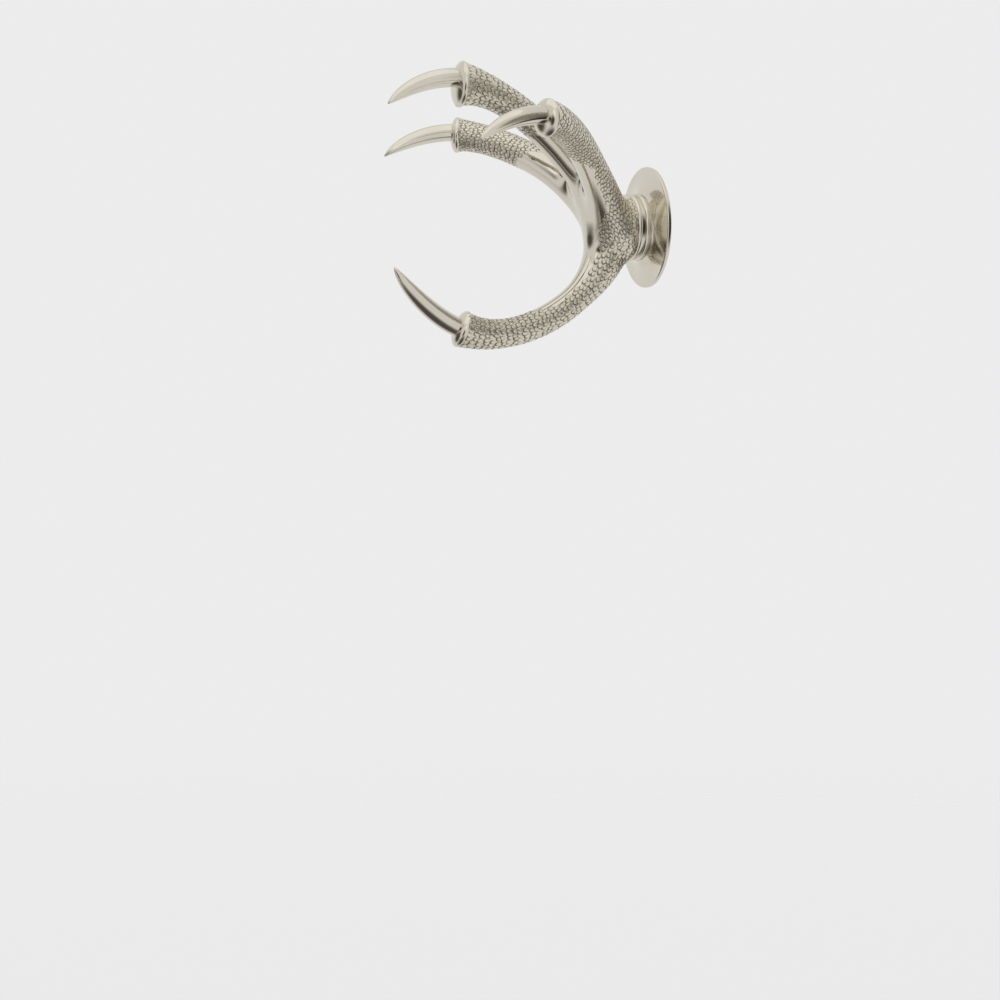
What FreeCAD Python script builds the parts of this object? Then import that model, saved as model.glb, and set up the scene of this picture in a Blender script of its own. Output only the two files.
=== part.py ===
# Wall hanger in the form of a bird's claw, one polished casting: a round wall flange with a beaded neck,
# a wrist that parts into three raised front toes, and a hind toe below that closes the hook.
# Each toe flares into a domed cuff, and a curved talon with a flattened belly grows out of it.
# Millimetres and degrees. The wall is the plane Y = 0, the claw reaches out along -Y, and +Z is up.
import FreeCAD, Part
import Sketcher
import math
import os

VECTOR = FreeCAD.Vector

# Driving dimensions. A reach is measured out from the wall, a rise up from the flange's axis and a side
# away from the plane of symmetry. A pitch is a heading's angle above the level, and a splay its angle
# sideways. The hind toe is drawn upside down, so its rises point down. A pull says how far a curve
# keeps to the heading at its end.
SIZES = {
    # flange and neck
    "flange_radius": 40.0,
    "flange_edge": 2.8,
    "flange_chamfer": 0.7,
    "flare_reach": 8.8,
    "neck_radius": 21.5,
    "bead_width": 2.9,
    "bead_spacing": 5.4,
    "bead_stand": 0.9,
    # blind hole for the wall bolt
    "bolt_bore_radius": 3.4,
    "bolt_bore_depth": 20.0,
    # wrist and the heel of the palm
    "wrist_radius": 23.0,
    "wrist_start": 16.4,
    "wrist_length": 19.6,
    "wrist_pitch": -9.0,
    "heel_reach": 29.5,
    "heel_drop": 7.0,
    "heel_radius": 15.5,
    # middle front toe
    "middle_root_pull": 30.0,
    "middle_cuff_reach": 131.6,
    "middle_cuff_rise": 90.9,
    "middle_cuff_pitch": 4.0,
    "middle_cuff_pull": 43.0,
    "middle_neck_radius": 10.1,
    "middle_cuff_radius": 15.0,
    "middle_talon_radius": 7.2,
    "middle_talon_lift": 3.0,
    "middle_tip_reach": 181.0,
    "middle_tip_rise": 77.0,
    "middle_tip_pitch": -40.0,
    # the two side toes, mirror images of each other
    "side_root_side": 9.5,
    "side_root_reach": 26.0,
    "side_root_rise": -5.0,
    "side_root_radius": 12.5,
    "side_root_splay": 20.0,
    "side_root_pitch": 65.0,
    "side_root_pull": 56.0,
    "side_cuff_side": 86.5,
    "side_cuff_reach": 104.8,
    "side_cuff_rise": 64.1,
    "side_cuff_splay": 18.0,
    "side_cuff_pitch": 1.5,
    "side_cuff_pull": 18.0,
    "side_neck_radius": 10.1,
    "side_cuff_radius": 12.2,
    "side_talon_radius": 6.9,
    "side_talon_lift": 0.8,
    "side_tip_side": 99.8,
    "side_tip_reach": 152.9,
    "side_tip_rise": 49.4,
    "side_tip_splay": 8.0,
    "side_tip_pitch": -38.0,
    # hind toe
    "hind_root_pull": 36.0,
    "hind_cuff_reach": 131.0,
    "hind_cuff_rise": 67.0,
    "hind_cuff_pitch": -20.0,
    "hind_cuff_pull": 45.0,
    "hind_neck_radius": 9.6,
    "hind_cuff_radius": 12.4,
    "hind_talon_radius": 7.4,
    "hind_talon_lift": -1.0,
    "hind_tip_reach": 177.0,
    "hind_tip_rise": 27.0,
    "hind_tip_pitch": -58.0,
    # shared by every toe
    "cuff_lip": 5.0,
    "talon_edge_share": 0.33,
    "talon_belly_share": 0.73,
    "talon_root_pull": 20.0,
    "talon_tip_pull": 14.0,
}

# Bead rings on the neck.
BEADS = 2
# How many sections each loft runs through, from its first to its last.
TOE_SECTIONS = 23
LIP_SECTIONS = 3
TALON_SECTIONS = 10
WRIST_SECTIONS = 5
# Shares of a toe's length: the palm's extra radius dies out over the first, the cuff's grows from the second.
ROOT_SPAN = 0.42
CUFF_START = 0.70
# How steeply the cuff flares, and how the talon narrows to its point.
FLARE_POWER = 2.4
TAPER_POWER = 2.5
TAPER_FULLNESS = 0.8
POINT_SHARE = 0.06
# The wrist keeps this share of its radius where it ends inside the palm.
WRIST_END_SHARE = 0.5

doc = FreeCAD.newDocument("ClawHanger")


def ease(share):
    """A smooth step from nought to one."""
    held = min(max(share, 0.0), 1.0)
    return held * held * (3 - 2 * held)


def root_share(place):
    return 1 - ease(place / ROOT_SPAN)


def cuff_share(place):
    return max((place - CUFF_START) / (1 - CUFF_START), 0.0) ** FLARE_POWER


def talon_share(place):
    return POINT_SHARE + (1 - POINT_SHARE) * (1 - place ** TAPER_POWER) ** TAPER_FULLNESS


def wrist_share(place):
    return 1 - (1 - WRIST_END_SHARE) * place * place


def make_sheet():
    sheet = doc.addObject("Spreadsheet::Sheet", "Dims")
    for row, (alias, value) in enumerate(SIZES.items(), start=1):
        sheet.set(f"A{row}", alias)
        sheet.set(f"B{row}", str(value))
        sheet.setAlias(f"B{row}", alias)
    doc.recompute()


def dim(alias):
    return f"Dims.{alias}"


def origin_plane(body, role):
    return next(o for o in body.Origin.OriginFeatures if o.Role == role)


def new_body(label):
    body = doc.addObject("PartDesign::Body", label)
    body.Label = label
    return body


def blend(weights, terms):
    return " + ".join(f"{weight:g} * ({term})" for weight, term in zip(weights, terms))


def heading_of(splay, pitch):
    """A heading's share along side, reach and rise."""
    return (f"cos({pitch}) * sin({splay})", f"cos({pitch}) * cos({splay})", f"sin({pitch})")


def step_from(point, length, heading):
    return [f"({at}) + ({length}) * {share}" for at, share in zip(point, heading)]


class Curve:
    """A cubic curve through space, given by expressions: two ends, their headings and their pulls."""

    def __init__(self, start, start_heading, start_pull, end, end_heading, end_pull):
        lead = step_from(start, start_pull, start_heading)
        trail = step_from(end, f"-{end_pull}", end_heading)
        self.axes = list(zip(start, lead, trail, end))

    def place(self, share):
        back = 1 - share
        weights = (back ** 3, 3 * share * back ** 2, 3 * share ** 2 * back, share ** 3)
        return [blend(weights, terms) for terms in self.axes]

    def heading(self, share):
        back = 1 - share
        steps = (back ** 2, 2 * share * back, share ** 2)
        weights = (-steps[0], steps[0] - steps[1], steps[1] - steps[2], steps[2])
        return [blend(weights, terms) for terms in self.axes]


def turn(axis, angle):
    return f"create(<<rotation>>; create(<<vector>>; {axis}); {angle})"


def section(body, label, place, heading):
    """An empty sketch at (side, reach, rise), square to its heading, with its X axis level."""
    sketch = body.newObject("Sketcher::SketchObject", label)
    sketch.AttachmentSupport = [(origin_plane(body, "XY_Plane"), "")]
    sketch.MapMode = "FlatFace"
    side, reach, rise = heading
    yaw = turn("0; 0; 1", f"atan2({side}; {reach})")
    tilt = turn("1; 0; 0", f"atan2(sqrt(({side})^2 + ({reach})^2); {rise})")
    at = f"create(<<vector>>; {place[0]}; -({place[1]}); {place[2]})"
    sketch.setExpression("AttachmentOffset", f"create(<<placement>>; {at}; {yaw} * {tilt})")
    return sketch


def name_constraint(sketch, constraint, name, expression):
    index = sketch.addConstraint(constraint)
    sketch.renameConstraint(index, name)
    sketch.setExpression(f"Constraints.{name}", expression)


def round_section(body, label, place, heading, radius):
    sketch = section(body, label, place, heading)
    sketch.addGeometry(Part.Circle(VECTOR(0, 0, 0), VECTOR(0, 0, 1), 10), False)
    sketch.addConstraint(Sketcher.Constraint("Coincident", 0, 3, -1, 1))
    name_constraint(sketch, Sketcher.Constraint("Radius", 0, 10), "radius", radius)
    return sketch


def talon_section(body, label, place, heading, radius):
    """A round back over a shallow belly; the two arcs meet in an edge along each side of the talon."""
    sketch = section(body, label, place, heading)
    guess_radius = 5.0
    guess_drop = 0.35 * guess_radius
    guess_half = (guess_radius ** 2 - guess_drop ** 2) ** 0.5
    right = VECTOR(guess_half, -guess_drop, 0)
    left = VECTOR(-guess_half, -guess_drop, 0)
    sketch.addGeometry(Part.Arc(right, VECTOR(0, guess_radius, 0), left), False)
    sketch.addGeometry(Part.Arc(left, VECTOR(0, -2 * guess_drop, 0), right), False)
    sketch.addConstraint(Sketcher.Constraint("Coincident", 0, 3, -1, 1))
    sketch.addConstraint(Sketcher.Constraint("Coincident", 0, 2, 1, 1))
    sketch.addConstraint(Sketcher.Constraint("Coincident", 1, 2, 0, 1))
    sketch.addConstraint(Sketcher.Constraint("Symmetric", 0, 1, 0, 2, -2))
    edge = dim("talon_edge_share")
    sag = f"({dim('talon_belly_share')} - {edge})"
    name_constraint(sketch, Sketcher.Constraint("Radius", 0, guess_radius), "back", radius)
    drop = Sketcher.Constraint("DistanceY", 0, 1, -1, 1, guess_drop)
    name_constraint(sketch, drop, "edge_drop", f"({radius}) * {edge}")
    belly = f"({radius}) * (1 - {edge}^2 + {sag}^2) / (2 * {sag})"
    name_constraint(sketch, Sketcher.Constraint("Radius", 1, 2 * guess_radius), "belly", belly)
    return sketch


def loft(body, label, sections):
    feature = body.newObject("PartDesign::AdditiveLoft", label)
    feature.Profile = sections[0]
    feature.Sections = sections[1:]
    feature.Ruled = True
    return feature


def ring(body, kind, label, reach, height):
    """A round primitive about the flange's axis, from the given reach outwards."""
    feature = body.newObject(kind, label)
    feature.AttachmentSupport = [(origin_plane(body, "XZ_Plane"), "")]
    feature.MapMode = "FlatFace"
    feature.setExpression("AttachmentOffset.Base.z", reach)
    feature.setExpression("Height", height)
    return feature


def make_flange():
    """Flange, flare and neck turned as one profile about the Y axis, with two bead rings on the neck."""
    body = new_body("flange")
    sketch = body.newObject("Sketcher::SketchObject", "flange_profile")
    sketch.AttachmentSupport = [(origin_plane(body, "XY_Plane"), "")]
    sketch.MapMode = "FlatFace"
    rim_x = SIZES["flange_radius"]
    edge_y = -SIZES["flange_edge"]
    neck_x = SIZES["neck_radius"]
    flare_y = -SIZES["flare_reach"]
    end_y = -SIZES["wrist_start"]
    corners = [(0, 0), (rim_x, 0), (rim_x, edge_y), (neck_x, flare_y), (neck_x, end_y), (0, end_y)]
    points = [VECTOR(x, y, 0) for x, y in corners]
    on_flare = VECTOR((rim_x + neck_x) / 2, (3 * edge_y + flare_y) / 4, 0)
    sketch.addGeometry(Part.LineSegment(points[0], points[1]), False)
    sketch.addGeometry(Part.LineSegment(points[1], points[2]), False)
    sketch.addGeometry(Part.Arc(points[2], on_flare, points[3]), False)
    sketch.addGeometry(Part.LineSegment(points[3], points[4]), False)
    sketch.addGeometry(Part.LineSegment(points[4], points[5]), False)
    sketch.addGeometry(Part.LineSegment(points[5], points[0]), False)
    back, rim, flare, neck, end, axis = range(6)
    # the arc is turned counter-clockwise, so which of its ends is the rim's is read from its shape
    rim_end = 1 if sketch.Geometry[flare].StartPoint.x > on_flare.x else 2
    neck_end = 3 - rim_end
    for first, first_end, second, second_end in (
        (back, 2, rim, 1), (rim, 2, flare, rim_end), (flare, neck_end, neck, 1),
        (neck, 2, end, 1), (end, 2, axis, 1), (axis, 2, back, 1), (back, 1, -1, 1),
    ):
        sketch.addConstraint(Sketcher.Constraint("Coincident", first, first_end, second, second_end))
    for line in (back, end):
        sketch.addConstraint(Sketcher.Constraint("Horizontal", line))
    for line in (rim, neck, axis):
        sketch.addConstraint(Sketcher.Constraint("Vertical", line))
    # the flare leaves the rim flat along the face: its centre stands square out from the rim's edge
    sketch.addConstraint(Sketcher.Constraint("Vertical", flare, 3, rim, 2))
    for name, constraint, expression in (
        ("rim_radius", Sketcher.Constraint("DistanceX", -1, 1, back, 2, rim_x), dim("flange_radius")),
        ("edge", Sketcher.Constraint("DistanceY", rim, 2, rim, 1, -edge_y), dim("flange_edge")),
        ("neck_radius", Sketcher.Constraint("DistanceX", -1, 1, neck, 1, neck_x), dim("neck_radius")),
        ("flare_reach", Sketcher.Constraint("DistanceY", neck, 1, -1, 1, -flare_y), dim("flare_reach")),
        ("neck_reach", Sketcher.Constraint("DistanceY", neck, 2, -1, 1, -end_y), dim("wrist_start")),
    ):
        name_constraint(sketch, constraint, name, expression)
    turned = body.newObject("PartDesign::Revolution", "flange_turned")
    turned.Profile = sketch
    turned.ReferenceAxis = (sketch, ["V_Axis"])
    turned.Angle = 360
    doc.recompute()
    rim_edges = []
    for number, edge in enumerate(turned.Shape.Edges, start=1):
        is_circle = isinstance(edge.Curve, Part.Circle)
        if is_circle and abs(edge.Curve.Radius - rim_x) < 0.01:
            rim_edges.append(f"Edge{number}")
    eased = body.newObject("PartDesign::Chamfer", "flange_eased")
    eased.Base = (turned, rim_edges)
    eased.setExpression("Size", dim("flange_chamfer"))
    crest = f"{dim('neck_radius')} + {dim('bead_stand')}"
    for bead in range(BEADS):
        middle = f"{dim('flare_reach')} + {bead} * {dim('bead_spacing')}"
        low = f"{middle} - {dim('bead_width')} / 2"
        high = f"{middle} + {dim('bead_width')} / 2 - {dim('bead_stand')}"
        rising = ring(body, "PartDesign::AdditiveCone", f"bead_{bead}_rising", low, dim("bead_stand"))
        rising.setExpression("Radius1", dim("neck_radius"))
        rising.setExpression("Radius2", crest)
        flat = f"{dim('bead_width')} - 2 * {dim('bead_stand')}"
        start = f"{low} + {dim('bead_stand')}"
        top = ring(body, "PartDesign::AdditiveCylinder", f"bead_{bead}_crest", start, flat)
        top.setExpression("Radius", crest)
        falling = ring(body, "PartDesign::AdditiveCone", f"bead_{bead}_falling", high, dim("bead_stand"))
        falling.setExpression("Radius1", crest)
        falling.setExpression("Radius2", dim("neck_radius"))
    return body


def make_wrist():
    """A stout stub that carries on from the neck and ends in a dome inside the palm."""
    body = new_body("wrist")
    start = ("0", dim("wrist_start"), "0")
    sections = [round_section(body, "wrist_0", start, heading_of("0", "0"), dim("neck_radius"))]
    out = heading_of("0", dim("wrist_pitch"))
    for number in range(1, WRIST_SECTIONS):
        share = number / (WRIST_SECTIONS - 1)
        place = step_from(start, f"{share:g} * {dim('wrist_length')}", out)
        radius = f"{wrist_share(share):g} * {dim('wrist_radius')}"
        sections.append(round_section(body, f"wrist_{number}", place, out, radius))
    loft(body, "wrist_loft", sections)
    return body


def make_toe(toe, root, root_heading, root_radius, roll="0"):
    """A toe from its root in the palm to its cuff, the cuff's dome, and the talon that grows out of it."""
    body = new_body(f"{toe}_toe")

    def own(name):
        # a toe in the plane of symmetry has no sideways sizes
        alias = f"{toe}_{name}"
        return dim(alias) if alias in SIZES else "0"

    def point(name):
        return [own(f"{name}_{axis}") for axis in ("side", "reach", "rise")]

    def heading(name):
        return heading_of(own(f"{name}_splay"), own(f"{name}_pitch"))

    cuff = point("cuff")
    ahead = heading("cuff")
    spine = Curve(root, root_heading, own("root_pull"), cuff, ahead, own("cuff_pull"))
    neck = own("neck_radius")
    sections = []
    for number in range(TOE_SECTIONS):
        share = number / (TOE_SECTIONS - 1)
        radius = (f"{neck} + {root_share(share):g} * ({root_radius} - {neck})"
                  f" + {cuff_share(share):g} * ({own('cuff_radius')} - {neck})")
        label = f"{toe}_toe_{number}"
        sections.append(round_section(body, label, spine.place(share), spine.heading(share), radius))
    loft(body, f"{toe}_toe_loft", sections)

    # the dome is a quarter of an ellipse, cut off inside the talon
    dome = [sections[-1]]
    for number in range(1, LIP_SECTIONS):
        angle = math.radians(90 * number / LIP_SECTIONS)
        place = step_from(cuff, f"{math.sin(angle):g} * {dim('cuff_lip')}", ahead)
        radius = f"{math.cos(angle):g} * {own('cuff_radius')}"
        dome.append(round_section(body, f"{toe}_lip_{number}", place, ahead, radius))
    loft(body, f"{toe}_lip_loft", dome)

    above = heading_of(own("cuff_splay"), f"{own('cuff_pitch')} + 90")
    base = step_from(cuff, own("talon_lift"), above)
    pulls = dim("talon_root_pull"), dim("talon_tip_pull")
    line = Curve(base, ahead, pulls[0], point("tip"), heading("tip"), pulls[1])
    talon = []
    for number in range(TALON_SECTIONS):
        share = number / (TALON_SECTIONS - 1)
        radius = f"{talon_share(share):g} * {own('talon_radius')}"
        label = f"{toe}_talon_{number}"
        talon.append(talon_section(body, label, line.place(share), line.heading(share), radius))
    loft(body, f"{toe}_talon_loft", talon)

    centre = "create(<<vector>>; 0; 0; 0)"
    body.setExpression("Placement", f"create(<<placement>>; {centre}; {turn('0; 1; 0', roll)})")
    return body


def make_bolt_bore():
    """The blind hole in the middle of the flange's back."""
    bore = doc.addObject("Part::Cylinder", "bolt_bore")
    bore.Placement = FreeCAD.Placement(VECTOR(0, 0, 0), FreeCAD.Rotation(VECTOR(1, 0, 0), 90))
    bore.setExpression("Radius", dim("bolt_bore_radius"))
    bore.setExpression("Height", dim("bolt_bore_depth"))
    return bore


def check(document):
    for item in document.Objects:
        if "Invalid" in item.State or "Error" in item.State:
            raise RuntimeError(f"{item.Name}: {item.getStatusString()}")


make_sheet()
# The middle toe leaves the heel straight up and the hind toe straight down, from one shared section.
heel = ("0", dim("heel_reach"), f"-{dim('heel_drop')}")
heel_below = ("0", dim("heel_reach"), dim("heel_drop"))
upright = heading_of("0", "90")
side_root = [dim(f"side_root_{axis}") for axis in ("side", "reach", "rise")]
side_heading = heading_of(dim("side_root_splay"), dim("side_root_pitch"))
pieces = [
    make_flange(),
    make_wrist(),
    make_toe("middle", heel, upright, dim("heel_radius")),
    make_toe("hind", heel_below, upright, dim("heel_radius"), roll="180"),
    make_toe("side", side_root, side_heading, dim("side_root_radius")),
]
doc.recompute()
check(doc)

far_side = doc.addObject("Part::Mirroring", "far_side_toe")
far_side.Source = pieces[-1]
far_side.Normal = VECTOR(1, 0, 0)
casting = doc.addObject("Part::MultiFuse", "casting")
casting.Shapes = pieces + [far_side]
hanger = doc.addObject("Part::Cut", "claw_hanger")
hanger.Label = "claw_hanger"
hanger.Base = casting
hanger.Tool = make_bolt_bore()
doc.recompute()
check(doc)

shape = hanger.Shape
if shape.isNull() or not shape.isValid() or len(shape.Solids) != 1:
    raise RuntimeError(f"claw_hanger: valid {shape.isValid()}, solids {len(shape.Solids)}")
os.makedirs("parts", exist_ok=True)
shape.exportStep(f"parts/{hanger.Label}.step")
box = shape.optimalBoundingBox(False)
print(f"claw_hanger {shape.Volume / 1000:.1f} cm3, box {box}")
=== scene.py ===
import math
import bmesh
import bpy
import numpy as np
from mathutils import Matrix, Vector


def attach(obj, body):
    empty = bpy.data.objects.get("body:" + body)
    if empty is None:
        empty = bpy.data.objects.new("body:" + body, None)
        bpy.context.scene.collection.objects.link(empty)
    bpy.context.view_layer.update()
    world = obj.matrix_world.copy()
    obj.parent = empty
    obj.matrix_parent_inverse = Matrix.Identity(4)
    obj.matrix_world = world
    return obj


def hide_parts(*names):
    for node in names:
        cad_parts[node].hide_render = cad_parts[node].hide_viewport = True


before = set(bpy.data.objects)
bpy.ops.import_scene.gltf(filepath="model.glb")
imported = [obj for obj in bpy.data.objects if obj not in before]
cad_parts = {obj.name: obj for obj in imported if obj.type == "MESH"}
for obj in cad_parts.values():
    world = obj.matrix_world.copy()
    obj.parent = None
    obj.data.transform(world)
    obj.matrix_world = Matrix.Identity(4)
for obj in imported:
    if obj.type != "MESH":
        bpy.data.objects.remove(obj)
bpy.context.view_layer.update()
mm = 0.001  # the shapes are drawn in millimetres
node = "claw_hanger"
chance = np.random.default_rng(41)  # one seeded source for every jitter


# smooth step: 3 s squared less 2 s cubed, held between 0 and 1
def ease(share):
    share = np.clip(share, 0.0, 1.0)
    return share * share * (3.0 - 2.0 * share)


# rows of vectors brought to length one
def unit(rows):
    return rows / np.maximum(np.linalg.norm(rows, axis=-1, keepdims=True), 1e-12)


# angles evenly spread over a full turn
def fullTurn(steps):
    return np.linspace(0, 2 * math.pi, steps, endpoint=False)


# rows shared out in blocks of about a set size, so that no table of distances grows too large
def blocksOf(rows, size):
    return np.array_split(rows, max(len(rows) // size, 1))


# direction from a splay off the middle plane and a pitch above level, as x, y, z with the claw reaching to -y
def heading(splay, pitch):
    s, p = math.radians(splay), math.radians(pitch)
    return np.array([math.cos(p) * math.sin(s), -math.cos(p) * math.cos(s), math.sin(p)])


# point given as side, reach from the flange's back and rise, turned into x, y, z
def spot(side, reach, rise):
    return np.array([side, -reach, rise], float)


# cubic curve between two points that leaves and arrives along two headings: the four Bernstein terms summed
def curve(start, startWay, startPull, end, endWay, endPull, steps):
    t = np.linspace(0.0, 1.0, steps)[:, None]
    a, b = start + startPull * startWay, end - endPull * endWay
    s = 1.0 - t
    points = s**3 * start + 3 * s * s * t * a + 3 * s * t * t * b + t**3 * end
    ways = s * s * (a - start) + 2 * s * t * (b - a) + t * t * (end - b)
    return t[:, 0], points, unit(ways)


# level axis across a way, and the axis above it: both square to the way
def axesOf(ways):
    yaw = np.arctan2(np.round(ways[:, 0], 9), np.round(-ways[:, 1], 9))
    across = np.stack([np.cos(yaw), np.sin(yaw), 0 * yaw], 1)
    return across, np.cross(ways, across)


# closed skin over a stack of rings: quads between rings and a fan to the middle of each end ring
def ringFaces(rings):
    rows, around = rings.shape[:2]
    r, c = np.meshgrid(np.arange(rows - 1), np.arange(around), indexing="ij")
    n = (c + 1) % around
    quads = np.stack([r * around + c, r * around + n, (r + 1) * around + n, (r + 1) * around + c], -1)
    i = np.arange(around)
    j = (i + 1) % around
    first, last = rows * around, rows * around + 1
    base = (rows - 1) * around
    fans = np.concatenate([
        np.stack([0 * i + first, j, i], 1),
        np.stack([0 * i + last, base + i, base + j], 1),
    ])
    points = np.concatenate([rings.reshape(-1, 3), rings[:1].mean(1), rings[-1:].mean(1)])
    return points, quads.reshape(-1, 4), fans


# mesh from whole arrays in millimetres, faces turned outwards by the sign of the volume they close
def meshFrom(name, points, quads, fans):
    tris = np.concatenate([quads[:, [0, 1, 2]], quads[:, [0, 2, 3]], fans])
    a, b, c = points[tris[:, 0]], points[tris[:, 1]], points[tris[:, 2]]
    if np.einsum("ij,ij->i", a, np.cross(b, c)).sum() < 0:
        quads, fans = quads[:, ::-1], fans[:, ::-1]
    corners = np.concatenate([quads.ravel(), fans.ravel()]).astype(np.int32)
    sizes = np.concatenate([np.full(len(quads), 4), np.full(len(fans), 3)])
    mesh = bpy.data.meshes.new(name)
    mesh.vertices.add(len(points))
    mesh.vertices.foreach_set("co", (points * mm).astype(np.float32).ravel())
    mesh.loops.add(len(corners))
    mesh.loops.foreach_set("vertex_index", corners)
    mesh.polygons.add(len(sizes))
    mesh.polygons.foreach_set("loop_start", (np.cumsum(sizes) - sizes).astype(np.int32))
    mesh.update(calc_edges=True)
    mesh.validate()
    mesh.polygons.foreach_set("use_smooth", np.ones(len(mesh.polygons), bool))
    return mesh


# object in the scene for a mesh, riding on the casting and standing for it
def pieceOf(mesh, *materials):
    piece = bpy.data.objects.new(mesh.name, mesh)
    bpy.context.scene.collection.objects.link(piece)
    for material in materials:
        mesh.materials.append(material)
    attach(piece, "root")
    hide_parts(node)
    return piece


# a socket in an expression: each operator adds one Math node
class Wire:
    def __init__(self, finish, socket):
        self.finish, self.socket = finish, socket

    def maths(self, operation, a, b):
        return self.finish.add("Math", {"operation": operation}, {0: a, 1: b})

    def __add__(self, other):
        return self.maths("ADD", self, other)

    def __radd__(self, other):
        return self.maths("ADD", other, self)

    def __sub__(self, other):
        return self.maths("SUBTRACT", self, other)

    def __rsub__(self, other):
        return self.maths("SUBTRACT", other, self)

    def __mul__(self, other):
        return self.maths("MULTIPLY", self, other)

    def __rmul__(self, other):
        return self.maths("MULTIPLY", other, self)


# a material under construction: add puts in one node with its settings and its sockets
class Finish:
    def __init__(self, name):
        self.material = bpy.data.materials.new(name)
        self.material.use_nodes = True
        self.tree = self.material.node_tree
        self.tree.nodes.clear()

    def add(self, kind, settings, sockets, out=0):
        made = self.tree.nodes.new("ShaderNode" + kind)
        for key, value in settings.items():
            setattr(made, key, value)
        for key, value in sockets.items():
            if isinstance(value, Wire):
                self.tree.links.new(value.socket, made.inputs[key])
            else:
                made.inputs[key].default_value = value
        return Wire(self, made.outputs[out]) if made.outputs else None

    # number stored on the mesh's points
    def stored(self, name):
        return self.add("Attribute", {"attribute_name": name}, {}, 2)

    # object coordinates, in metres
    def place(self):
        return self.add("TexCoord", {}, {}, 3)

    # soft cloudy noise on object coordinates, grain given in patches a metre
    def cloud(self, grain, detail=2.0):
        return self.add("TexNoise", {}, {"Vector": self.place(), "Scale": grain, "Detail": detail})

    # colour between two by a share
    def between(self, share, low, high):
        return self.add("Mix", {"data_type": "RGBA"}, {0: share, 6: low, 7: high}, 2)

    # normal tipped by the slope of a height, depth given in metres
    def bump(self, height, strength, depth):
        return self.add("Bump", {}, {"Height": height, "Strength": strength, "Distance": depth})

    # one shader with its sockets, led to the surface
    def close(self, sockets):
        shader = self.add("BsdfPrincipled", {}, sockets)
        self.add("OutputMaterial", {}, {"Surface": shader})
        return self.material


mirrorLook = dict(
    dark=(0.63, 0.59, 0.50, 1), light=(0.73, 0.69, 0.60, 1), gloss=0.06, haze=0.06, hazeGrain=60.0,
    waveGrain=45.0, waveDetail=1.0, waveStrength=0.10, waveDepth=0.0006,
)


# polished nickel: a warm grey mirror whose colour and gloss follow one cloud, as buffing leaves it, with
# faint waves
def mirrorNickel():
    look, nickel = mirrorLook, Finish("mirrorNickel")
    haze = nickel.cloud(look["hazeGrain"])
    wave = nickel.cloud(look["waveGrain"], look["waveDetail"])
    return nickel.close({
        "Base Color": nickel.between(haze, look["dark"], look["light"]),
        "Metallic": 1.0,
        "Roughness": look["gloss"] + look["haze"] * haze,
        "Normal": nickel.bump(wave, look["waveStrength"], look["waveDepth"]),
    })


# the groove colour is painted shade for the grooves between the scales
skinLook = dict(
    palm=(0.66, 0.62, 0.53, 1), scale=(0.74, 0.69, 0.575, 1), groove=(0.10, 0.085, 0.06, 1),
    palmGloss=0.05, scaleGloss=0.25, toneGloss=0.12, grooveGloss=0.30,
    grain=900.0, grainDetail=3.0, grainStrength=0.12, grainDepth=0.0003,
)


# scaly nickel: satin on the tops of the scales, dull in the grooves and darkened there with painted shade,
# mirror on the bare palm
def scalyNickel():
    look, nickel = skinLook, Finish("scalyNickel")
    scaly, groove, tone = nickel.stored("scaly"), nickel.stored("groove"), nickel.stored("tone")
    top = nickel.between(scaly, look["palm"], look["scale"])
    duller = look["scaleGloss"] - look["palmGloss"] + tone * look["toneGloss"]
    grain = nickel.cloud(look["grain"], look["grainDetail"]) * scaly
    return nickel.close({
        # painted shade: the colour darkens towards the groove colour down in the grooves
        "Base Color": nickel.between(groove, top, look["groove"]),
        "Metallic": 1.0,
        "Roughness": look["palmGloss"] + scaly * duller + groove * look["grooveGloss"],
        "Normal": nickel.bump(grain, look["grainStrength"], look["grainDepth"]),
    })


backLook = dict(
    colour=(0.52, 0.495, 0.45, 1), worn=(0.60, 0.57, 0.52, 1), gloss=0.26, haze=0.12, hazeGrain=120.0,
    ringScale=286.624, ringWaver=0.4, ringDetail=1.0, ringStrength=0.15, ringDepth=0.0002,
)


# faced nickel: satin, with turned rings about a millimetre apart round the bolt hole
def facedNickel():
    look, nickel = backLook, Finish("facedNickel")
    rings = nickel.add("TexWave", {"wave_type": "RINGS", "rings_direction": "Y"}, {
        "Vector": nickel.place(), "Scale": look["ringScale"],
        "Distortion": look["ringWaver"], "Detail": look["ringDetail"]})
    haze = nickel.cloud(look["hazeGrain"])
    return nickel.close({
        "Base Color": nickel.between(haze, look["colour"], look["worn"]),
        "Metallic": 1.0,
        "Roughness": look["gloss"] + look["haze"] * haze,
        "Normal": nickel.bump(rings, look["ringStrength"], look["ringDepth"]),
    })


mirror, scaly, faced = mirrorNickel(), scalyNickel(), facedNickel()
print("finishes made")

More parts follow.
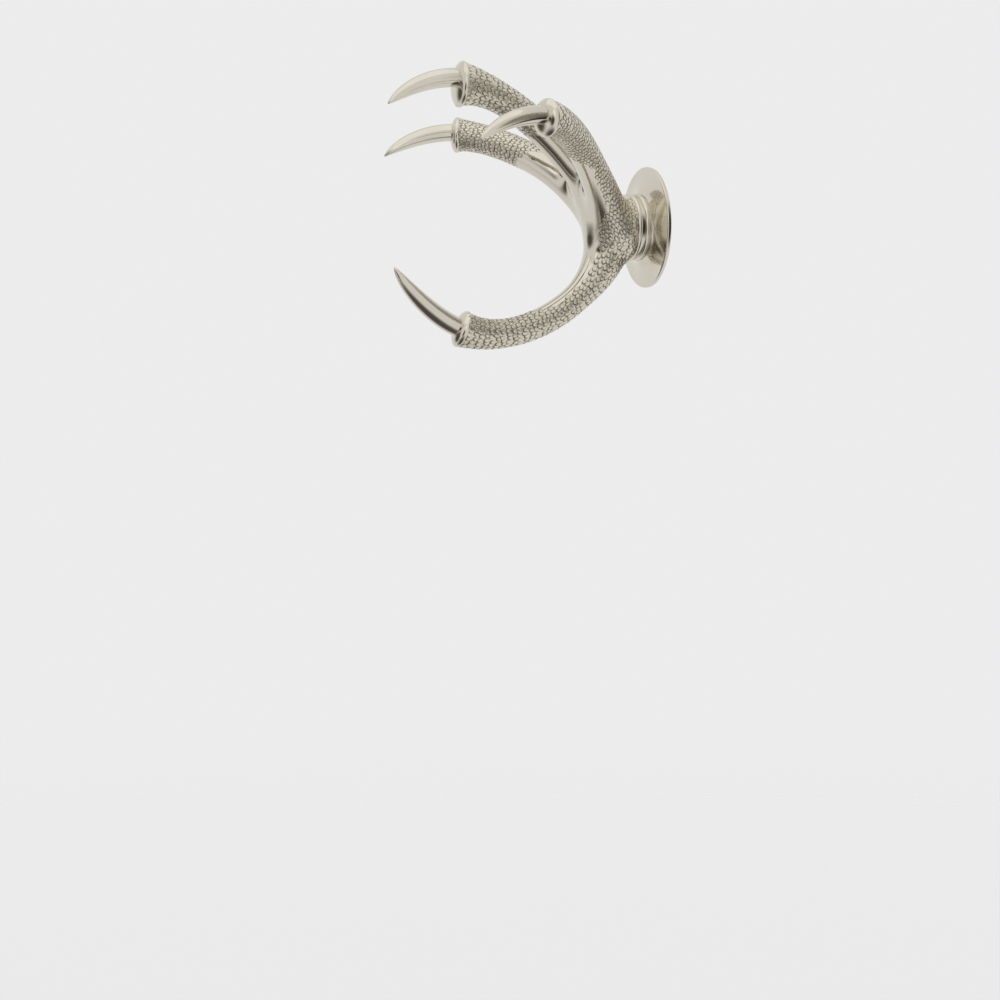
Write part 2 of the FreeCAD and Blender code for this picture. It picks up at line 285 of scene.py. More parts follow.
# toes: each runs from its root in the palm to its cuff, and its talon on to the tip
# flip is 1 as drawn; the far side toe is mirrored in x, and the hind toe is rolled half a turn about y
toes = {
    "middle": dict(
        flip=(1, 1, 1), root=spot(0, 29.5, -7), rootWay=heading(0, 90), rootPull=30.0, rootRadius=15.5,
        cuff=spot(0, 131.6, 90.9), cuffTurn=(0, 4), cuffPull=43.0, neckRadius=10.1, cuffRadius=15.0,
        talonRadius=7.2, talonLift=3.0, tip=spot(0, 181, 77), tipTurn=(0, -40)),
    "near": dict(
        flip=(1, 1, 1), root=spot(9.5, 26, -5), rootWay=heading(20, 65), rootPull=56.0, rootRadius=12.5,
        cuff=spot(86.5, 104.8, 64.1), cuffTurn=(18, 1.5), cuffPull=18.0, neckRadius=10.1, cuffRadius=12.2,
        talonRadius=6.9, talonLift=0.8, tip=spot(99.8, 152.9, 49.4), tipTurn=(8, -38)),
    "hind": dict(
        flip=(-1, 1, -1), root=spot(0, 29.5, 7), rootWay=heading(0, 90), rootPull=36.0, rootRadius=15.5,
        cuff=spot(0, 131, 67), cuffTurn=(0, -20), cuffPull=45.0, neckRadius=9.6, cuffRadius=12.4,
        talonRadius=7.4, talonLift=-1.0, tip=spot(0, 177, 27), tipTurn=(0, -58)),
}
toes["far"] = dict(toes["near"], flip=(-1, 1, 1))
toeShape = dict(rootSpan=0.42, cuffStart=0.70, flarePower=2.4, lip=5.0, lipStand=0.35, steps=320)


# toe radius: the neck's, swelling to the root's over the first span by a smooth step and to the cuff's
# over the last by a power
def toeRadius(toe, t):
    shape, neck = toeShape, toe["neckRadius"]
    swell = 1.0 - ease(t / shape["rootSpan"])
    flare = np.maximum((t - shape["cuffStart"]) / (1 - shape["cuffStart"]), 0.0) ** shape["flarePower"]
    cuff = toe["cuffRadius"] - shape["lipStand"]
    return neck + swell * (toe["rootRadius"] - neck) + flare * (cuff - neck)


# toe line: the cubic from root to cuff, put in place by its flip
def toeLine(toe):
    t, points, ways = curve(toe["root"], toe["rootWay"], toe["rootPull"],
                            toe["cuff"], heading(*toe["cuffTurn"]), toe["cuffPull"], toeShape["steps"])
    flip = np.array(toe["flip"], float)
    return points * flip, toeRadius(toe, t)


neckRadius = 21.5  # of the flange's neck, which the wrist grows out of
wristShape = dict(
    start=16.4, length=19.6, pitch=-9.0, radius=23.0, neckRadius=neckRadius, inside=3.0, endShare=0.5,
    stand=0.25, drop=0.6, dropRun=0.7, swellShare=0.3, steps=160,
)


# wrist line: along the flange's axis out of the neck, then drooping by its pitch; the radius starts a
# little over the neck's, swells to its own and falls with the square, and inside the neck it drops under
# the neck's
def wristLine():
    wrist = wristShape
    share = np.linspace(-wrist["inside"] / wrist["length"], 1.0, wrist["steps"])
    way = np.where(share[:, None] < 0, heading(0, 0), heading(0, wrist["pitch"]))
    points = spot(0, wrist["start"], 0) + wrist["length"] * share[:, None] * way
    fall = wrist["radius"] * (1 - (1 - wrist["endShare"]) * np.maximum(share, 0) ** 2)
    foot = (wrist["radius"] - wrist["neckRadius"] - wrist["stand"]) * (1 - ease(share / wrist["swellShare"]))
    drop = wrist["drop"] * ease(-share * wrist["length"] / wrist["dropRun"])
    return points, fall - foot - drop


# lines of the limbs: the middle and hind toes are one line through the heel, the side toes and the wrist
# one each
def limbLines():
    middle, middleRadius = toeLine(toes["middle"])
    hind, hindRadius = toeLine(toes["hind"])
    spine = np.concatenate([hind[::-1], middle[1:]]), np.concatenate([hindRadius[::-1], middleRadius[1:]])
    return [spine, toeLine(toes["near"]), toeLine(toes["far"]), wristLine()]


throat = spot(0, 104, 2)  # middle of the grip
hiddenEnds = ((True, True), (False, True), (False, True), (True, False))  # under a cuff or inside the neck


# limb: the way along its line, the run from its start, the radius's slope and the line's bend, with two
# axes square to the way: the first leans to the middle of the grip, the second is square to both
def limbOf(line, radius, hidden):
    way = unit(np.gradient(line, axis=0))
    run = np.concatenate([[0.0], np.cumsum(np.linalg.norm(np.diff(line, axis=0), axis=1))])
    lean = throat - line
    palm = unit(lean - np.sum(lean * way, 1, keepdims=True) * way)
    return dict(line=line, radius=radius, hidden=hidden, way=way, run=run, slope=np.gradient(radius, run),
                bend=np.gradient(way, run, axis=0), palm=palm, flank=np.cross(way, palm))


limbs = [limbOf(line, radius, hidden) for (line, radius), hidden in zip(limbLines(), hiddenEnds)]

# skin over the limbs: how finely it is grown, how broadly the limbs run together, and where it is cut in
# pieces
skinShape = dict(
    voxel=0.40, around=72, cutLevel=34.0, cutSlack=1e-7, blend=(5.0, 14.0), blendFrom=spot(0, 12, 0),
    blendSpan=(21.0, 48.0), endHold=0.3, endShort=1.8, bendLeast=0.3, calm=0.9,
    pulls=6, pullMost=1.2, lookAgain=2,
)
# edge of the scales: where they start on the neck, and the limits on facing the throat above and below
# the heel
skinEdge = dict(
    heel=spot(0, 32, 0), above=-0.18, below=0.55, level=(-2.0, 14.0), rise=1.3, span=(68.0, 82.0),
    neckReach=16.2,
)


# rough tube: a circle of the limb's radius carried along its line
def tube(limb):
    turn = fullTurn(skinShape["around"])[None, :, None]
    rings = limb["palm"][:, None] * np.cos(turn) + limb["flank"][:, None] * np.sin(turn)
    return ringFaces(limb["line"][:, None] + limb["radius"][:, None, None] * rings)


# one closed rough skin: the tubes together, each turned outwards, run through a voxel remesh
def roughSkin():
    gathered, quads, fans, count = [], [], [], 0
    for limb in limbs:
        p, q, f = tube(limb)
        volume = np.einsum("ij,ij->i", p[q[:, 0]], np.cross(p[q[:, 1]], p[q[:, 2]])).sum()
        gathered.append(p)
        quads.append((q if volume > 0 else q[:, ::-1]) + count)
        fans.append((f if volume > 0 else f[:, ::-1]) + count)
        count += len(p)
    mesh = meshFrom("roughSkin", np.concatenate(gathered), np.concatenate(quads), np.concatenate(fans))
    rough = bpy.data.objects.new("roughSkin", mesh)
    bpy.context.scene.collection.objects.link(rough)
    grown = rough.modifiers.new("grown", "REMESH")
    grown.mode = "VOXEL"
    grown.voxel_size = skinShape["voxel"] * mm
    made = bpy.data.meshes.new_from_object(rough.evaluated_get(bpy.context.evaluated_depsgraph_get()))
    points = np.empty(len(made.vertices) * 3, np.float32)
    made.vertices.foreach_get("co", points)
    corners = np.empty(len(made.loops), np.int32)
    made.loops.foreach_get("vertex_index", corners)
    bpy.data.objects.remove(rough)
    bpy.data.meshes.remove(mesh)
    bpy.data.meshes.remove(made)
    return points.reshape(-1, 3).astype(float) / mm, corners.reshape(-1, 4)


# nearest sample of a line to each point: the least of the line's square less twice the product
def nearestOn(line, points, block=4000):
    square = np.sum(line * line, 1)
    return np.concatenate([np.argmin(square - 2 * part @ line.T, 1) for part in blocksOf(points, block)])


# nearest samples of every limb
def nearestAll(points):
    return [nearestOn(limb["line"], points) for limb in limbs]


# distance to a limb: square to its line from the foot of the point, less the radius there, with a short
# rounded end where the end is bare; the foot is the nearest sample moved along by the offset over one
# less the bend's share of it
def limbField(limb, points, near):
    gap = points - limb["line"][near]
    turning = np.maximum(1 - np.sum(gap * limb["bend"][near], 1), skinShape["bendLeast"])
    along = np.sum(gap * limb["way"][near], 1) / turning
    beside = np.clip(near + np.where(along > 0, 1, -1), 0, len(limb["line"]) - 1)
    span = np.abs(limb["run"][beside] - limb["run"][near])
    share = np.clip(np.abs(along) / np.maximum(span, 1e-6), 0, 1)

    def foot(key):
        start, end = limb[key][near], limb[key][beside]
        return start + (end - start) * (share if start.ndim == 1 else share[:, None])

    way, gap = unit(foot("way")), points - foot("line")
    along = np.sum(gap * way, 1)
    off = gap - along[:, None] * way
    first, last = near == 0, near == len(limb["line"]) - 1
    covered = (first & limb["hidden"][0]) | (last & limb["hidden"][1])
    beyond = np.where(first, -along, along)
    bare = (first | last) & ~covered & (beyond > 0)
    past = covered & (beyond > -skinShape["endHold"])
    off = off + np.where(bare, skinShape["endShort"] * along, 0.0)[:, None] * way
    far = np.linalg.norm(off, axis=1)
    depth = far - foot("radius") - np.where(bare, 0.0, limb["slope"][near] * along)
    depth = np.where(past, np.maximum(depth, np.abs(along)), depth)
    return depth, off / np.maximum(far, 1e-9)[:, None], past


# soft least of two distances: the lesser, less a quarter of k times h squared, where h falls from 1 to 0
# as they part by k; the ways out are mixed in the same shares
def softLeast(a, aWay, b, bWay, k):
    h = np.maximum(k - np.abs(a - b), 0) / k
    share = np.where(a < b, 1 - 0.5 * h, 0.5 * h)[:, None]
    return np.minimum(a, b) - 0.25 * k * h * h, share * aWay + (1 - share) * bWay


# skin field: the soft least of the two side toes, then the spine, then the wrist, k growing away from the
# neck so that the webs between the toes are broad
def skinField(points, nears):
    parts = [limbField(limb, points, near) for limb, near in zip(limbs, nears)]
    (low, high), (start, end) = skinShape["blend"], skinShape["blendSpan"]
    away = np.linalg.norm(points - skinShape["blendFrom"], axis=1)
    k = low + (high - low) * ease((away - start) / (end - start))
    spine, nearToe, farToe, wrist = (part[:2] for part in parts)
    field, way = softLeast(*nearToe, *farToe, k)
    for part in (spine, wrist):
        field, way = softLeast(field, way, *part, k)
    owner = np.stack([part[0] for part in parts], 1).argmin(1)
    past = np.stack([part[2] for part in parts], 1)[np.arange(len(points)), owner]
    return field, unit(way), owner, past


points, quads = roughSkin()
nears = nearestAll(points)
for step in range(skinShape["pulls"]):  # each pull moves the points onto the field, by a limited length
    field, out, owner, past = skinField(points, nears)
    pull = np.clip(field, -skinShape["pullMost"], skinShape["pullMost"])
    points = points - np.where(past, 0.0, pull)[:, None] * out
    if step == skinShape["lookAgain"]:
        nears = nearestAll(points)
field, out, owner, past = skinField(points, nears)
print("skin grown:", len(points), "points, off the field by", round(float(np.abs(field[~past]).max()), 3))

# scales: pitches along and round each limb, then the groove, the dome and the tilt of a scale
scaleShape = dict(
    pitches=((3.9, 3.0), (3.3, 2.6), (3.3, 2.6), (3.7, 3.4)), stretch=(0.74, 0.74, 0.74, 1.2), jitter=0.30,
    oval=0.50, sizes=(0.86, 1.08), sink=4.5, pulls=2, apart=0.8, fillReach=45.0, fillGap=2.9, fillStep=5,
    grooveWidth=0.62, grooveDepth=0.28, grooveBack=0.22, grooveTurn=1.3, ground=0.05,
    crownFall=0.07, crownMost=1.2, tilt=0.12, tiltTurn=0.6, palmDrop=0.26, edgeSoft=0.8,
)


# limb values picked out for each point's own limb
def ownValue(key):
    return np.stack([limb[key][near] for limb, near in zip(limbs, nears)], 1)[np.arange(len(points)), owner]


# seeds of a limb's scales: rows a pitch apart along it, every other row shifted by half a pitch round it, all
# jittered, then pulled onto the skin; those too far from it or on the neck are left out
def limbSeeds(index):
    limb, jitter = limbs[index], scaleShape["jitter"]
    rowPitch, sidePitch = scaleShape["pitches"][index]
    rows = int(limb["run"][-1] / rowPitch)
    around = int(2 * math.pi * np.median(limb["radius"]) / sidePitch)
    r, c = np.meshgrid(np.arange(rows), np.arange(around), indexing="ij")
    run = (r + 0.5 + jitter * chance.uniform(-1, 1, r.shape)) * rowPitch
    turn = (c + 0.5 * (r % 2) + jitter * chance.uniform(-1, 1, r.shape)) * 2 * math.pi / around
    at = np.clip(np.searchsorted(limb["run"], run.ravel()), 0, len(limb["run"]) - 1)
    turn = turn.reshape(-1, 1)
    way = limb["palm"][at] * np.cos(turn) + limb["flank"][at] * np.sin(turn)
    spots = limb["line"][at] + limb["radius"][at][:, None] * way
    for step in range(scaleShape["pulls"] + 1):  # the last round only sorts out
        field, way, owner, _ = skinField(spots, nearestAll(spots))
        keep = (np.abs(field) < scaleShape["sink"]) & (-spots[:, 1] > skinEdge["neckReach"])
        spots, way, owner = spots[keep], way[keep], owner[keep]
        if step < scaleShape["pulls"]:
            spots = spots - field[keep][:, None] * way
    return spots, way, np.full(len(spots), sidePitch), owner == index


# least distance from each point to a set of seeds
def leastGap(spots, seeds, block=500):
    parts = blocksOf(spots, block)
    return np.concatenate([np.linalg.norm(part[:, None] - seeds, axis=2).min(1) for part in parts])


# all seeds: each limb's own, then other limbs' seeds where they lie further from those kept than a share
# of a pitch, then the farthest point of the skin near the heel, over and over, until none is farther from
# a seed than a set gap
def gatherSeeds():
    rows = [limbSeeds(index) for index in range(len(limbs))]
    kept = [np.concatenate([row[k][row[3]] for row in rows]) for k in range(3)]
    for row in rows:
        guest = np.flatnonzero(~row[3])
        gap = leastGap(row[0][guest], kept[0])
        guest = guest[gap > scaleShape["apart"] * row[2][guest]]
        kept = [np.concatenate([kept[k], row[k][guest]]) for k in range(3)]
    close = np.linalg.norm(points - skinEdge["heel"], axis=1) < scaleShape["fillReach"]
    close = np.flatnonzero(close & (-points[:, 1] > skinEdge["neckReach"]))[::scaleShape["fillStep"]]
    gap = leastGap(points[close], kept[0])
    filled = []
    while gap.max() > scaleShape["fillGap"]:
        filled.append(close[gap.argmax()])
        gap = np.minimum(gap, np.linalg.norm(points[close] - points[filled[-1]], axis=1))
    wristPitch = scaleShape["pitches"][3][1]
    more = points[filled], out[filled], np.full(len(filled), wristPitch)
    return [np.concatenate(pair) for pair in zip(kept, more)]


# scaly or smooth: smooth where the skin faces the throat by more than a limit, which is lower above the
# heel than below and grows fast at a distance from the heel
def isScaly(spots, ways):
    edge = skinEdge
    (low, high), (start, end) = edge["level"], edge["span"]
    palmward = np.sum(ways * unit(throat - spots), 1)
    far = np.linalg.norm(spots - edge["heel"], axis=1)
    limit = edge["below"] + (edge["above"] - edge["below"]) * ease((spots[:, 2] - low) / (high - low))
    limit = limit + edge["rise"] * ease((far - start) / (end - start))
    return (palmward < limit).astype(float)


# cells: the two nearest seeds of each point, lengths along the limb times its stretch, so that under one
# the scales are longer that way; points are taken in runs along their limbs, each with the seeds round it
def cellsOf(spots, ways, seeds, order, reach=10.0, block=1500):
    gaps, picks = np.empty((len(spots), 2)), np.empty((len(spots), 2), int)
    squash = 1 - np.array(scaleShape["stretch"])[owner][:, None] ** 2
    for part in blocksOf(order, block):
        p, w = spots[part], ways[part]
        close = np.flatnonzero(np.all((seeds > p.min(0) - reach) & (seeds < p.max(0) + reach), 1))
        gap = p[:, None] - seeds[close]
        gap = np.sum(gap * gap, 2) - squash[part] * np.sum(gap * w[:, None], 2) ** 2
        near = np.argpartition(gap, 1, 1)[:, :2]
        both = np.take_along_axis(gap, near, 1)
        swap = np.argsort(both, 1)
        picks[part] = close[np.take_along_axis(near, swap, 1)]
        gaps[part] = np.sqrt(np.maximum(np.take_along_axis(both, swap, 1), 0))
    return gaps, picks


seeds, seedWays, seedPitch = gatherSeeds()
seedScaly, seedTone = isScaly(seeds, seedWays), chance.uniform(0, 1, len(seeds))
seedSize = seedPitch * chance.uniform(*scaleShape["sizes"], len(seeds)) * scaleShape["oval"]
limbWay = ownValue("way")
gaps, picks = cellsOf(points, limbWay, seeds, np.lexsort((ownValue("run"), owner)))
own, other = picks[:, 0], picks[:, 1]
between = gaps[:, 1] - gaps[:, 0]
lean = 0.5 + 0.5 * ease(between / scaleShape["edgeSoft"])
share = lean * seedScaly[own] + (1 - lean) * seedScaly[other]
tone = lean * seedTone[own] + (1 - lean) * seedTone[other]

# relief: each scale is an oval dome inside its cell, tilted up towards its outer end; a groove runs round
# it, deepest at that end, and the ground between ovals lies a little lower than the skin; the bare palm
# lies lower all over
inside = np.minimum(0.5 * between, seedSize[own] - gaps[:, 0])
hindLevel = toes["hind"]["root"][2] * toes["hind"]["flip"][2]  # below it the spine's line runs to the heel
outward = np.where((owner == 0) & (points[:, 2] < hindLevel), -1, 1)
forward = np.sum((points - seeds[own]) * limbWay, 1) * outward / seedPitch[own]
back = scaleShape["grooveBack"]
deep = back + (1 - back) * ease(0.5 + scaleShape["grooveTurn"] * forward)
groove = deep * (1 - ease(np.abs(inside) / scaleShape["grooveWidth"]))
lift = (-scaleShape["grooveDepth"] * groove
        - scaleShape["ground"] * ease(-inside / scaleShape["grooveWidth"])
        - scaleShape["crownFall"] * np.minimum(gaps[:, 0] / seedSize[own], scaleShape["crownMost"]) ** 2
        - scaleShape["tilt"] * np.clip(0.5 - scaleShape["tiltTurn"] * forward, 0, 1))
lift = share * lift - (1 - share) * scaleShape["palmDrop"]
points = points + lift[:, None] * out
print("scales cut:", len(seeds), "scales")


# normals of the whole skin: each quad's cross product of its diagonals, summed at its corners
def skinNormals():
    corner = points[quads]
    cross = np.cross(corner[:, 2] - corner[:, 0], corner[:, 3] - corner[:, 1])
    sums = [np.bincount(quads.ravel(), np.repeat(cross[:, k], 4), len(points)) for k in range(3)]
    return unit(np.stack(sums, 1))


normals = skinNormals()
if np.mean(np.sum(normals * out, 1)) < 0:
    normals, quads = -normals, quads[:, ::-1]
# the bare palm takes the field's own way out, where the two nearly agree
calm = ((1 - share) * (np.sum(normals * out, 1) > skinShape["calm"]))[:, None]
normals = unit((1 - calm) * normals + calm * out)


# quarter of the skin: cut at the middle plane and at a level, closed by flat faces inside, with the whole
# skin's normals
def skinPiece(name, side, rise):
    mesh = meshFrom(name, points, quads, np.empty((0, 3), int))
    # the groove share kept here lays painted shade in the grooves, and dulls them
    for key, values in (("scaly", share), ("groove", groove * share), ("tone", tone)):
        mesh.attributes.new(key, "FLOAT", "POINT").data.foreach_set("value", values.astype(np.float32))
    whole = mesh.attributes.new("whole", "FLOAT_VECTOR", "POINT")
    whole.data.foreach_set("vector", normals.astype(np.float32).ravel())
    work = bmesh.new()
    work.from_mesh(mesh)
    for place, way in (((0, 0, 0), (-side, 0, 0)), ((0, 0, skinShape["cutLevel"] * mm), (0, 0, -rise))):
        geometry = work.verts[:] + work.edges[:] + work.faces[:]
        bmesh.ops.bisect_plane(
            work, geom=geometry, dist=skinShape["cutSlack"], plane_co=place, plane_no=way, clear_outer=True)
        bmesh.ops.edgeloop_fill(work, edges=[edge for edge in work.edges if edge.is_boundary])
    work.to_mesh(mesh)
    work.free()
    kept = np.empty(len(mesh.vertices) * 3, np.float32)
    mesh.attributes["whole"].data.foreach_get("vector", kept)
    mesh.attributes.remove(mesh.attributes["whole"])
    mesh.normals_split_custom_set_from_vertices(unit(kept.reshape(-1, 3).astype(float)).tolist())
    return pieceOf(mesh, scaly)


skins = [skinPiece("skin" + sideName + riseName, side, rise)
         for sideName, side in (("Near", 1), ("Far", -1)) for riseName, rise in (("Upper", 1), ("Lower", -1))]
print("skin pieces:", [len(piece.data.polygons) for piece in skins])

lipShape = dict(
    back=0.9, tuck=1.6, tuckRun=(0.25, 0.1), tuckDrop=0.3, roll=0.25, rollSteps=14, inset=0.02, least=0.02,
    around=128, steps=32,
)


# cuff lip: a rolled rim that stands a little over the skin, and a dome of a quarter ellipse out to the talon
def cuffLip(name, toe):
    lip, radius = lipShape, toe["cuffRadius"] - lipShape["inset"]
    way = heading(*toe["cuffTurn"])
    across, above = (axis[0] for axis in axesOf(way[None]))
    quarter = np.linspace(0, 0.5 * math.pi, lip["steps"])
    behind = np.linspace(-1, 0, lip["rollSteps"])[:-1]
    along = np.concatenate([
        -lip["back"] - np.array(lip["tuckRun"]), lip["back"] * behind, toeShape["lip"] * np.sin(quarter)])
    size = np.concatenate([
        [radius - lip["tuck"], radius - lip["roll"] - lip["tuckDrop"]],
        radius - lip["roll"] * behind ** 2, radius * np.cos(quarter)])
    turn = fullTurn(lip["around"])[None, :, None]
    ring = across * np.cos(turn) + above * np.sin(turn)
    rings = toe["cuff"] + along[:, None, None] * way + np.maximum(size, lip["least"])[:, None, None] * ring
    return pieceOf(meshFrom(name, *ringFaces(rings * np.array(toe["flip"], float))), mirror)


talonShape = dict(
    edge=0.33, belly=0.73, rootPull=20.0, tipPull=14.0, power=2.5, fullness=0.8, point=0.03,
    steps=150, back=44, under=24, crease=38,
)


# talon section of size one: back arc from edge to edge over the top, then the belly arc back underneath
def talonSection():
    shape = talonShape
    low = -math.asin(shape["edge"])
    back = np.linspace(low, math.pi - low, shape["back"])
    half = math.cos(low)
    sag = shape["belly"] - shape["edge"]
    size = (half * half + sag * sag) / (2 * sag)
    reach = math.asin(half / size)
    under = np.linspace(-reach, reach, shape["under"] + 2)[1:-1]
    belly = np.stack([size * np.sin(under), size - sag - shape["edge"] - size * np.cos(under)], 1)
    return np.concatenate([np.stack([np.cos(back), np.sin(back)], 1), belly])


# talon: the section, with a round back, an edge down each side and a shallow belly, carried along a curve
# and drawn to a point by one less a power of the run
def talon(name, toe):
    shape = talonShape
    splay, pitch = toe["cuffTurn"]
    root = toe["cuff"] + toe["talonLift"] * heading(splay, pitch + 90)
    t, line, ways = curve(root, heading(splay, pitch), shape["rootPull"],
                          toe["tip"], heading(*toe["tipTurn"]), shape["tipPull"], shape["steps"])
    across, above = axesOf(ways)
    taper = (1 - t ** shape["power"]) ** shape["fullness"]
    size = toe["talonRadius"] * (shape["point"] + (1 - shape["point"]) * taper)
    section = talonSection()
    rings = across[:, None] * section[:, :1] + above[:, None] * section[:, 1:]
    rings = line[:, None] + size[:, None, None] * rings
    mesh = meshFrom(name, *ringFaces(rings * np.array(toe["flip"], float)))
    mesh.set_sharp_from_angle(angle=math.radians(shape["crease"]))
    return pieceOf(mesh, mirror)


for name, toe in toes.items():
    cuffLip(name + "Cuff", toe)
    talon(name + "Talon", toe)
print("cuffs and talons made")

flangeShape = dict(
    radius=40.0, edge=2.8, ease=0.8, easeSteps=9, frontTurn=78, faceSteps=12, around=256, crease=40,
    flareReach=8.8, flareSteps=40, flareTuck=0.6, neckRadius=neckRadius, neckBack=2.0, neckSteps=100,
    beads=(8.8, 14.2), beadHalf=1.45, beadStand=0.9, end=16.3, inner=((0.4, 20.5), (0.4, 8.0)),
    hole=3.4, holeDepth=20.0, holeSteps=110, holeStart=0.7, mouth=((0.35, 0.35), (0.0, 0.75)), faceStart=1.2,
    thread=0.55, pitch=1.25, threadEnd=17.0, threadFade=1.5, facedDepth=0.02, facedRim=0.8,
)


# arc from one angle to another about a centre, as reach and radius
def arc(reach, radius, size, start, end, steps):
    a = np.radians(np.linspace(start, end, steps))
    return np.stack([reach + size * np.sin(a), radius + size * np.cos(a)], 1)


# flange profile as reach and radius: hole, back, eased rim, flare of a quarter ellipse, then the neck
# raised by a half ellipse at each bead
def flangeProfile():
    shape, rim = flangeShape, flangeShape["radius"] - flangeShape["ease"]
    deep = np.linspace(shape["holeDepth"], shape["holeStart"], shape["holeSteps"])
    hole = np.stack([deep, np.full(shape["holeSteps"], shape["hole"])], 1)
    mouth = np.array(shape["mouth"]) + [0, shape["hole"]]
    face = np.linspace(shape["hole"] + shape["faceStart"], rim, shape["faceSteps"])
    face = np.stack([0 * face, face], 1)
    back = arc(shape["ease"], rim, shape["ease"], -90, 0, shape["easeSteps"])
    front = arc(shape["edge"] - shape["ease"], rim, shape["ease"], 0, shape["frontTurn"], shape["easeSteps"])
    a = np.linspace(0, 0.5 * math.pi, shape["flareSteps"])[1:]
    depth = shape["flareReach"] - shape["edge"]
    drop = shape["radius"] - shape["ease"] * shape["flareTuck"] - shape["neckRadius"]
    along, above = depth * (1 - np.cos(a)), drop * (1 - np.sin(a))
    flare = np.stack([shape["edge"] + along, shape["neckRadius"] + above], 1)
    reach = np.linspace(shape["flareReach"] - shape["neckBack"], shape["end"], shape["neckSteps"])
    neck = np.full(shape["neckSteps"], shape["neckRadius"])
    for bead in shape["beads"]:
        stand = np.sqrt(np.maximum(1 - ((reach - bead) / shape["beadHalf"]) ** 2, 0))
        neck = neck + shape["beadStand"] * stand
    flare = flare[flare[:, 0] < reach[0]]
    inner = np.array(shape["inner"]) + [shape["end"], 0]
    return np.concatenate([hole, mouth, face, back, front, flare, np.stack([reach, neck], 1), inner])


# flange, neck and beads: the profile turned about the y axis; the hole's radius grows by a
# triangle wave that winds once a pitch, fading at both ends
def flange():
    shape, profile = flangeShape, flangeProfile()
    turn = fullTurn(shape["around"])
    reach, size = profile[:, :1], profile[:, 1:] + 0 * turn
    wave = np.abs(((reach / shape["pitch"] - turn / (2 * math.pi)) % 1.0) - 0.5) * 2
    begun = ease((reach - shape["holeStart"]) / shape["threadFade"])
    ended = ease((shape["threadEnd"] - reach) / shape["threadFade"])
    inHole = (np.arange(len(profile)) < shape["holeSteps"])[:, None]
    size = size + inHole * begun * ended * shape["thread"] * wave
    rings = np.stack([size * np.cos(turn), -reach + 0 * turn, size * np.sin(turn)], -1)
    mesh = meshFrom("flange", *ringFaces(rings))
    mesh.set_sharp_from_angle(angle=math.radians(shape["crease"]))
    piece = pieceOf(mesh, mirror, faced)
    middles = np.empty(len(mesh.polygons) * 3, np.float32)
    mesh.polygons.foreach_get("center", middles)
    x, y, z = middles.reshape(-1, 3).T / mm
    inward = (y > -shape["facedDepth"]) | (np.hypot(x, z) < shape["hole"] + shape["facedRim"])
    mesh.polygons.foreach_set("material_index", inward.astype(np.int32))
    mesh.update()
    return piece


flange()
print("flange turned")

# studio: pale floor well below, pale world, soft boxes, and dark cards that only the metal sees: painted dark
# reflections of shade and of dim surroundings
studio = dict(
    floorZ=-1.30, floorSize=(12.0, 12.0), floorColour=(0.965, 0.965, 0.965, 1), floorGloss=0.7,
    floorSolid=0.3, worldGlow=0.84, cardGloss=0.9, cardSolid=0.25, ovalSteps=64, mark=(0, -0.09, 0),
)
softBoxes = {
    "topBox": dict(place=(0.1, -0.5, 1.5), size=(2.0, 2.0), watts=3.0),
    "sideBox": dict(place=(1.1, -1.5, 0.6), size=(0.8, 1.0), watts=0.8),
}
# dark and mid-grey sheets seen only in the metal: painted reflections of shade round the claw
cards = {
    # painted reflection of the wall in shade, up and behind on the right
    "cardBack": dict(place=(1.10, 0.85, 0.40), size=(1.7, 1.9), colour=(0.34, 0.31, 0.265, 1)),
    # painted reflection of the wall's shade round the flange, seen by the neck, flange and wrist
    "cardWallShade": dict(place=(0.17, 0.04, -0.005), size=(0.17, 0.30), colour=(0.02, 0.017, 0.014, 1)),
    # painted dark reflection in front of the claw
    "cardNear": dict(place=(0.60, -1.28, -0.10), size=(1.15, 1.3), colour=(0.06, 0.052, 0.04, 1)),
    # painted reflection of shadow below and in front, seen by the heel, the hind toe and the wrist's
    # underside
    "cardLowShadow": dict(place=(0.05, -0.32, -0.40), size=(0.95, 1.05), colour=(0.10, 0.085, 0.08, 1)),
    # painted dark reflection, seen mostly on the palm side
    "cardPalm": dict(place=(-0.72, -1.20, -0.08), size=(1.4, 1.4), colour=(0.10, 0.086, 0.07, 1)),
}
view = dict(lens=90.0, sensor=36.0, place=(1.5445, -0.6578, -0.0474), tilt=85.4, turn=70.3)


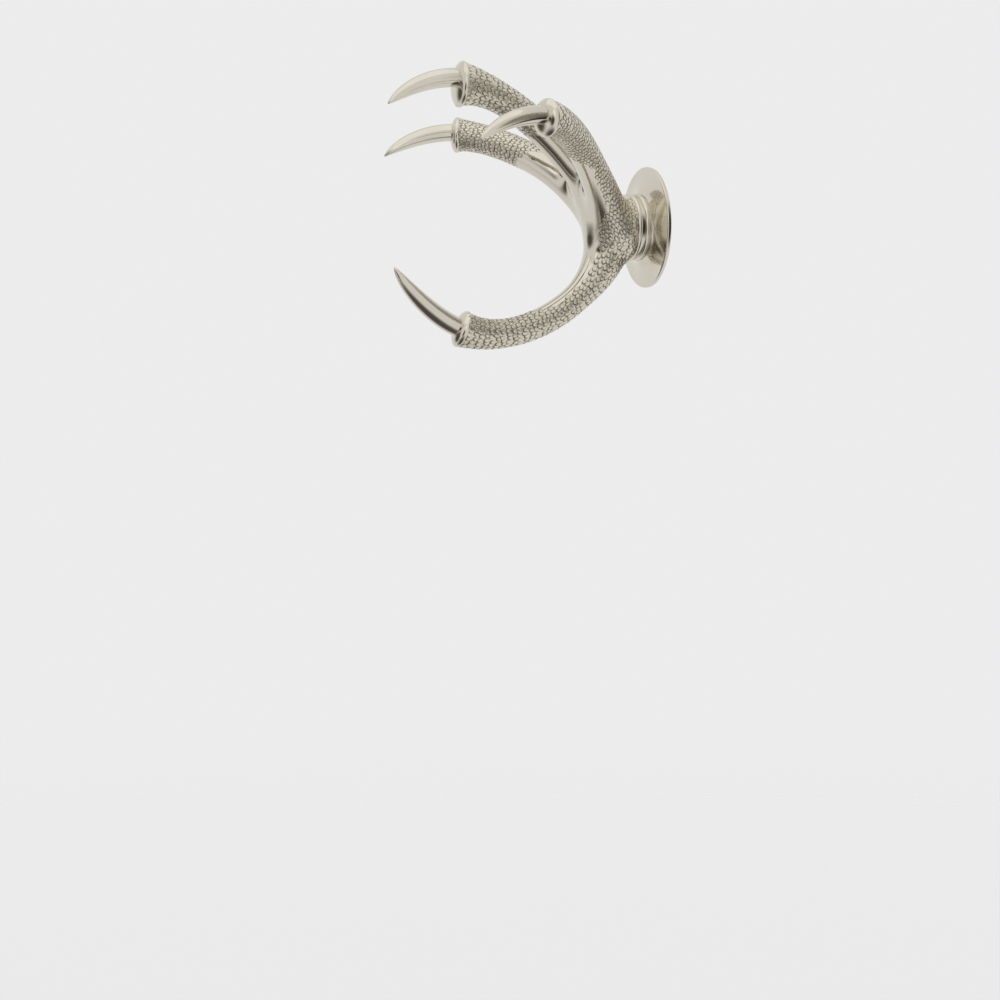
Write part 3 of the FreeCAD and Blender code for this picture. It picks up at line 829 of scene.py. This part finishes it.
# oval sheet with a soft edge: solid out to a share of its radius, then fading to clear at the rim by a
# smooth step
def fadedOval(name, size, colour, gloss, solidShare):
    sheet, steps = Finish(name + "Paint"), studio["ovalSteps"]
    paint = sheet.add("BsdfPrincipled", {}, {"Base Color": colour, "Roughness": gloss})
    clear = sheet.add("BsdfTransparent", {}, {})
    solid = sheet.add("MapRange", {"interpolation_type": "SMOOTHSTEP"}, {
        "Value": sheet.stored("rim"), "From Min": solidShare, "From Max": 1.0, "To Min": 1.0, "To Max": 0.0})
    mixed = sheet.add("MixShader", {}, {0: solid, 1: clear, 2: paint})
    sheet.add("OutputMaterial", {}, {"Surface": mixed})
    turn = fullTurn(steps)
    rim = np.stack([0.5 * size[0] * np.cos(turn), 0.5 * size[1] * np.sin(turn), 0 * turn], 1)
    mesh = bpy.data.meshes.new(name)
    mesh.from_pydata(rim.tolist() + [(0, 0, 0)], [], [(k, (k + 1) % steps, steps) for k in range(steps)])
    mesh.attributes.new("rim", "FLOAT", "POINT").data.foreach_set("value", [1.0] * steps + [0.0])
    mesh.materials.append(sheet.material)
    return bpy.data.objects.new(name, mesh)


# floor and world: a level oval well below, and an even white glow all round
def plainStage():
    floor = fadedOval(
        "floor", studio["floorSize"], studio["floorColour"], studio["floorGloss"], studio["floorSolid"])
    floor.location = (0, 0, studio["floorZ"])
    bpy.context.scene.collection.objects.link(floor)
    world = bpy.data.worlds.new("studio")
    world.use_nodes = True
    glow = world.node_tree.nodes["Background"]
    glow.inputs["Color"].default_value = (1.0, 1.0, 1.0, 1)
    glow.inputs["Strength"].default_value = studio["worldGlow"]
    bpy.context.scene.world = world
    bpy.context.scene.view_settings.view_transform = "Standard"


# object put in its place and turned so that its -z looks at the mark
def aimed(thing, place):
    thing.location = place
    thing.rotation_euler = (Vector(studio["mark"]) - Vector(place)).to_track_quat("-Z", "Y").to_euler()
    bpy.context.scene.collection.objects.link(thing)
    return thing


# soft box: a rectangle of light
def softBox(name, place, size, watts):
    lamp = bpy.data.lights.new(name, "AREA")
    lamp.shape = "RECTANGLE"
    lamp.size, lamp.size_y = size
    lamp.energy = watts
    return aimed(bpy.data.objects.new(name, lamp), place)


# dark card: seen only in the metal, neither by the camera nor in shadows or soft light, so it paints a dark
# reflection
def card(name, place, size, colour):
    made = aimed(fadedOval(name, size, colour, studio["cardGloss"], studio["cardSolid"]), place)
    made.visible_camera, made.visible_shadow, made.visible_diffuse = False, False, False
    return made


# camera: a long lens, tilted from straight down and turned from +y, in degrees
def viewer():
    camera = bpy.data.cameras.new("camera")
    camera.lens, camera.sensor_width = view["lens"], view["sensor"]
    eye = bpy.data.objects.new("camera", camera)
    eye.location = view["place"]
    eye.rotation_euler = (math.radians(view["tilt"]), 0, math.radians(view["turn"]))
    bpy.context.scene.collection.objects.link(eye)
    bpy.context.scene.camera = eye


plainStage()
for name, box in softBoxes.items():
    softBox(name, **box)
for name, sheet in cards.items():
    card(name, **sheet)
viewer()

print("scene ready")
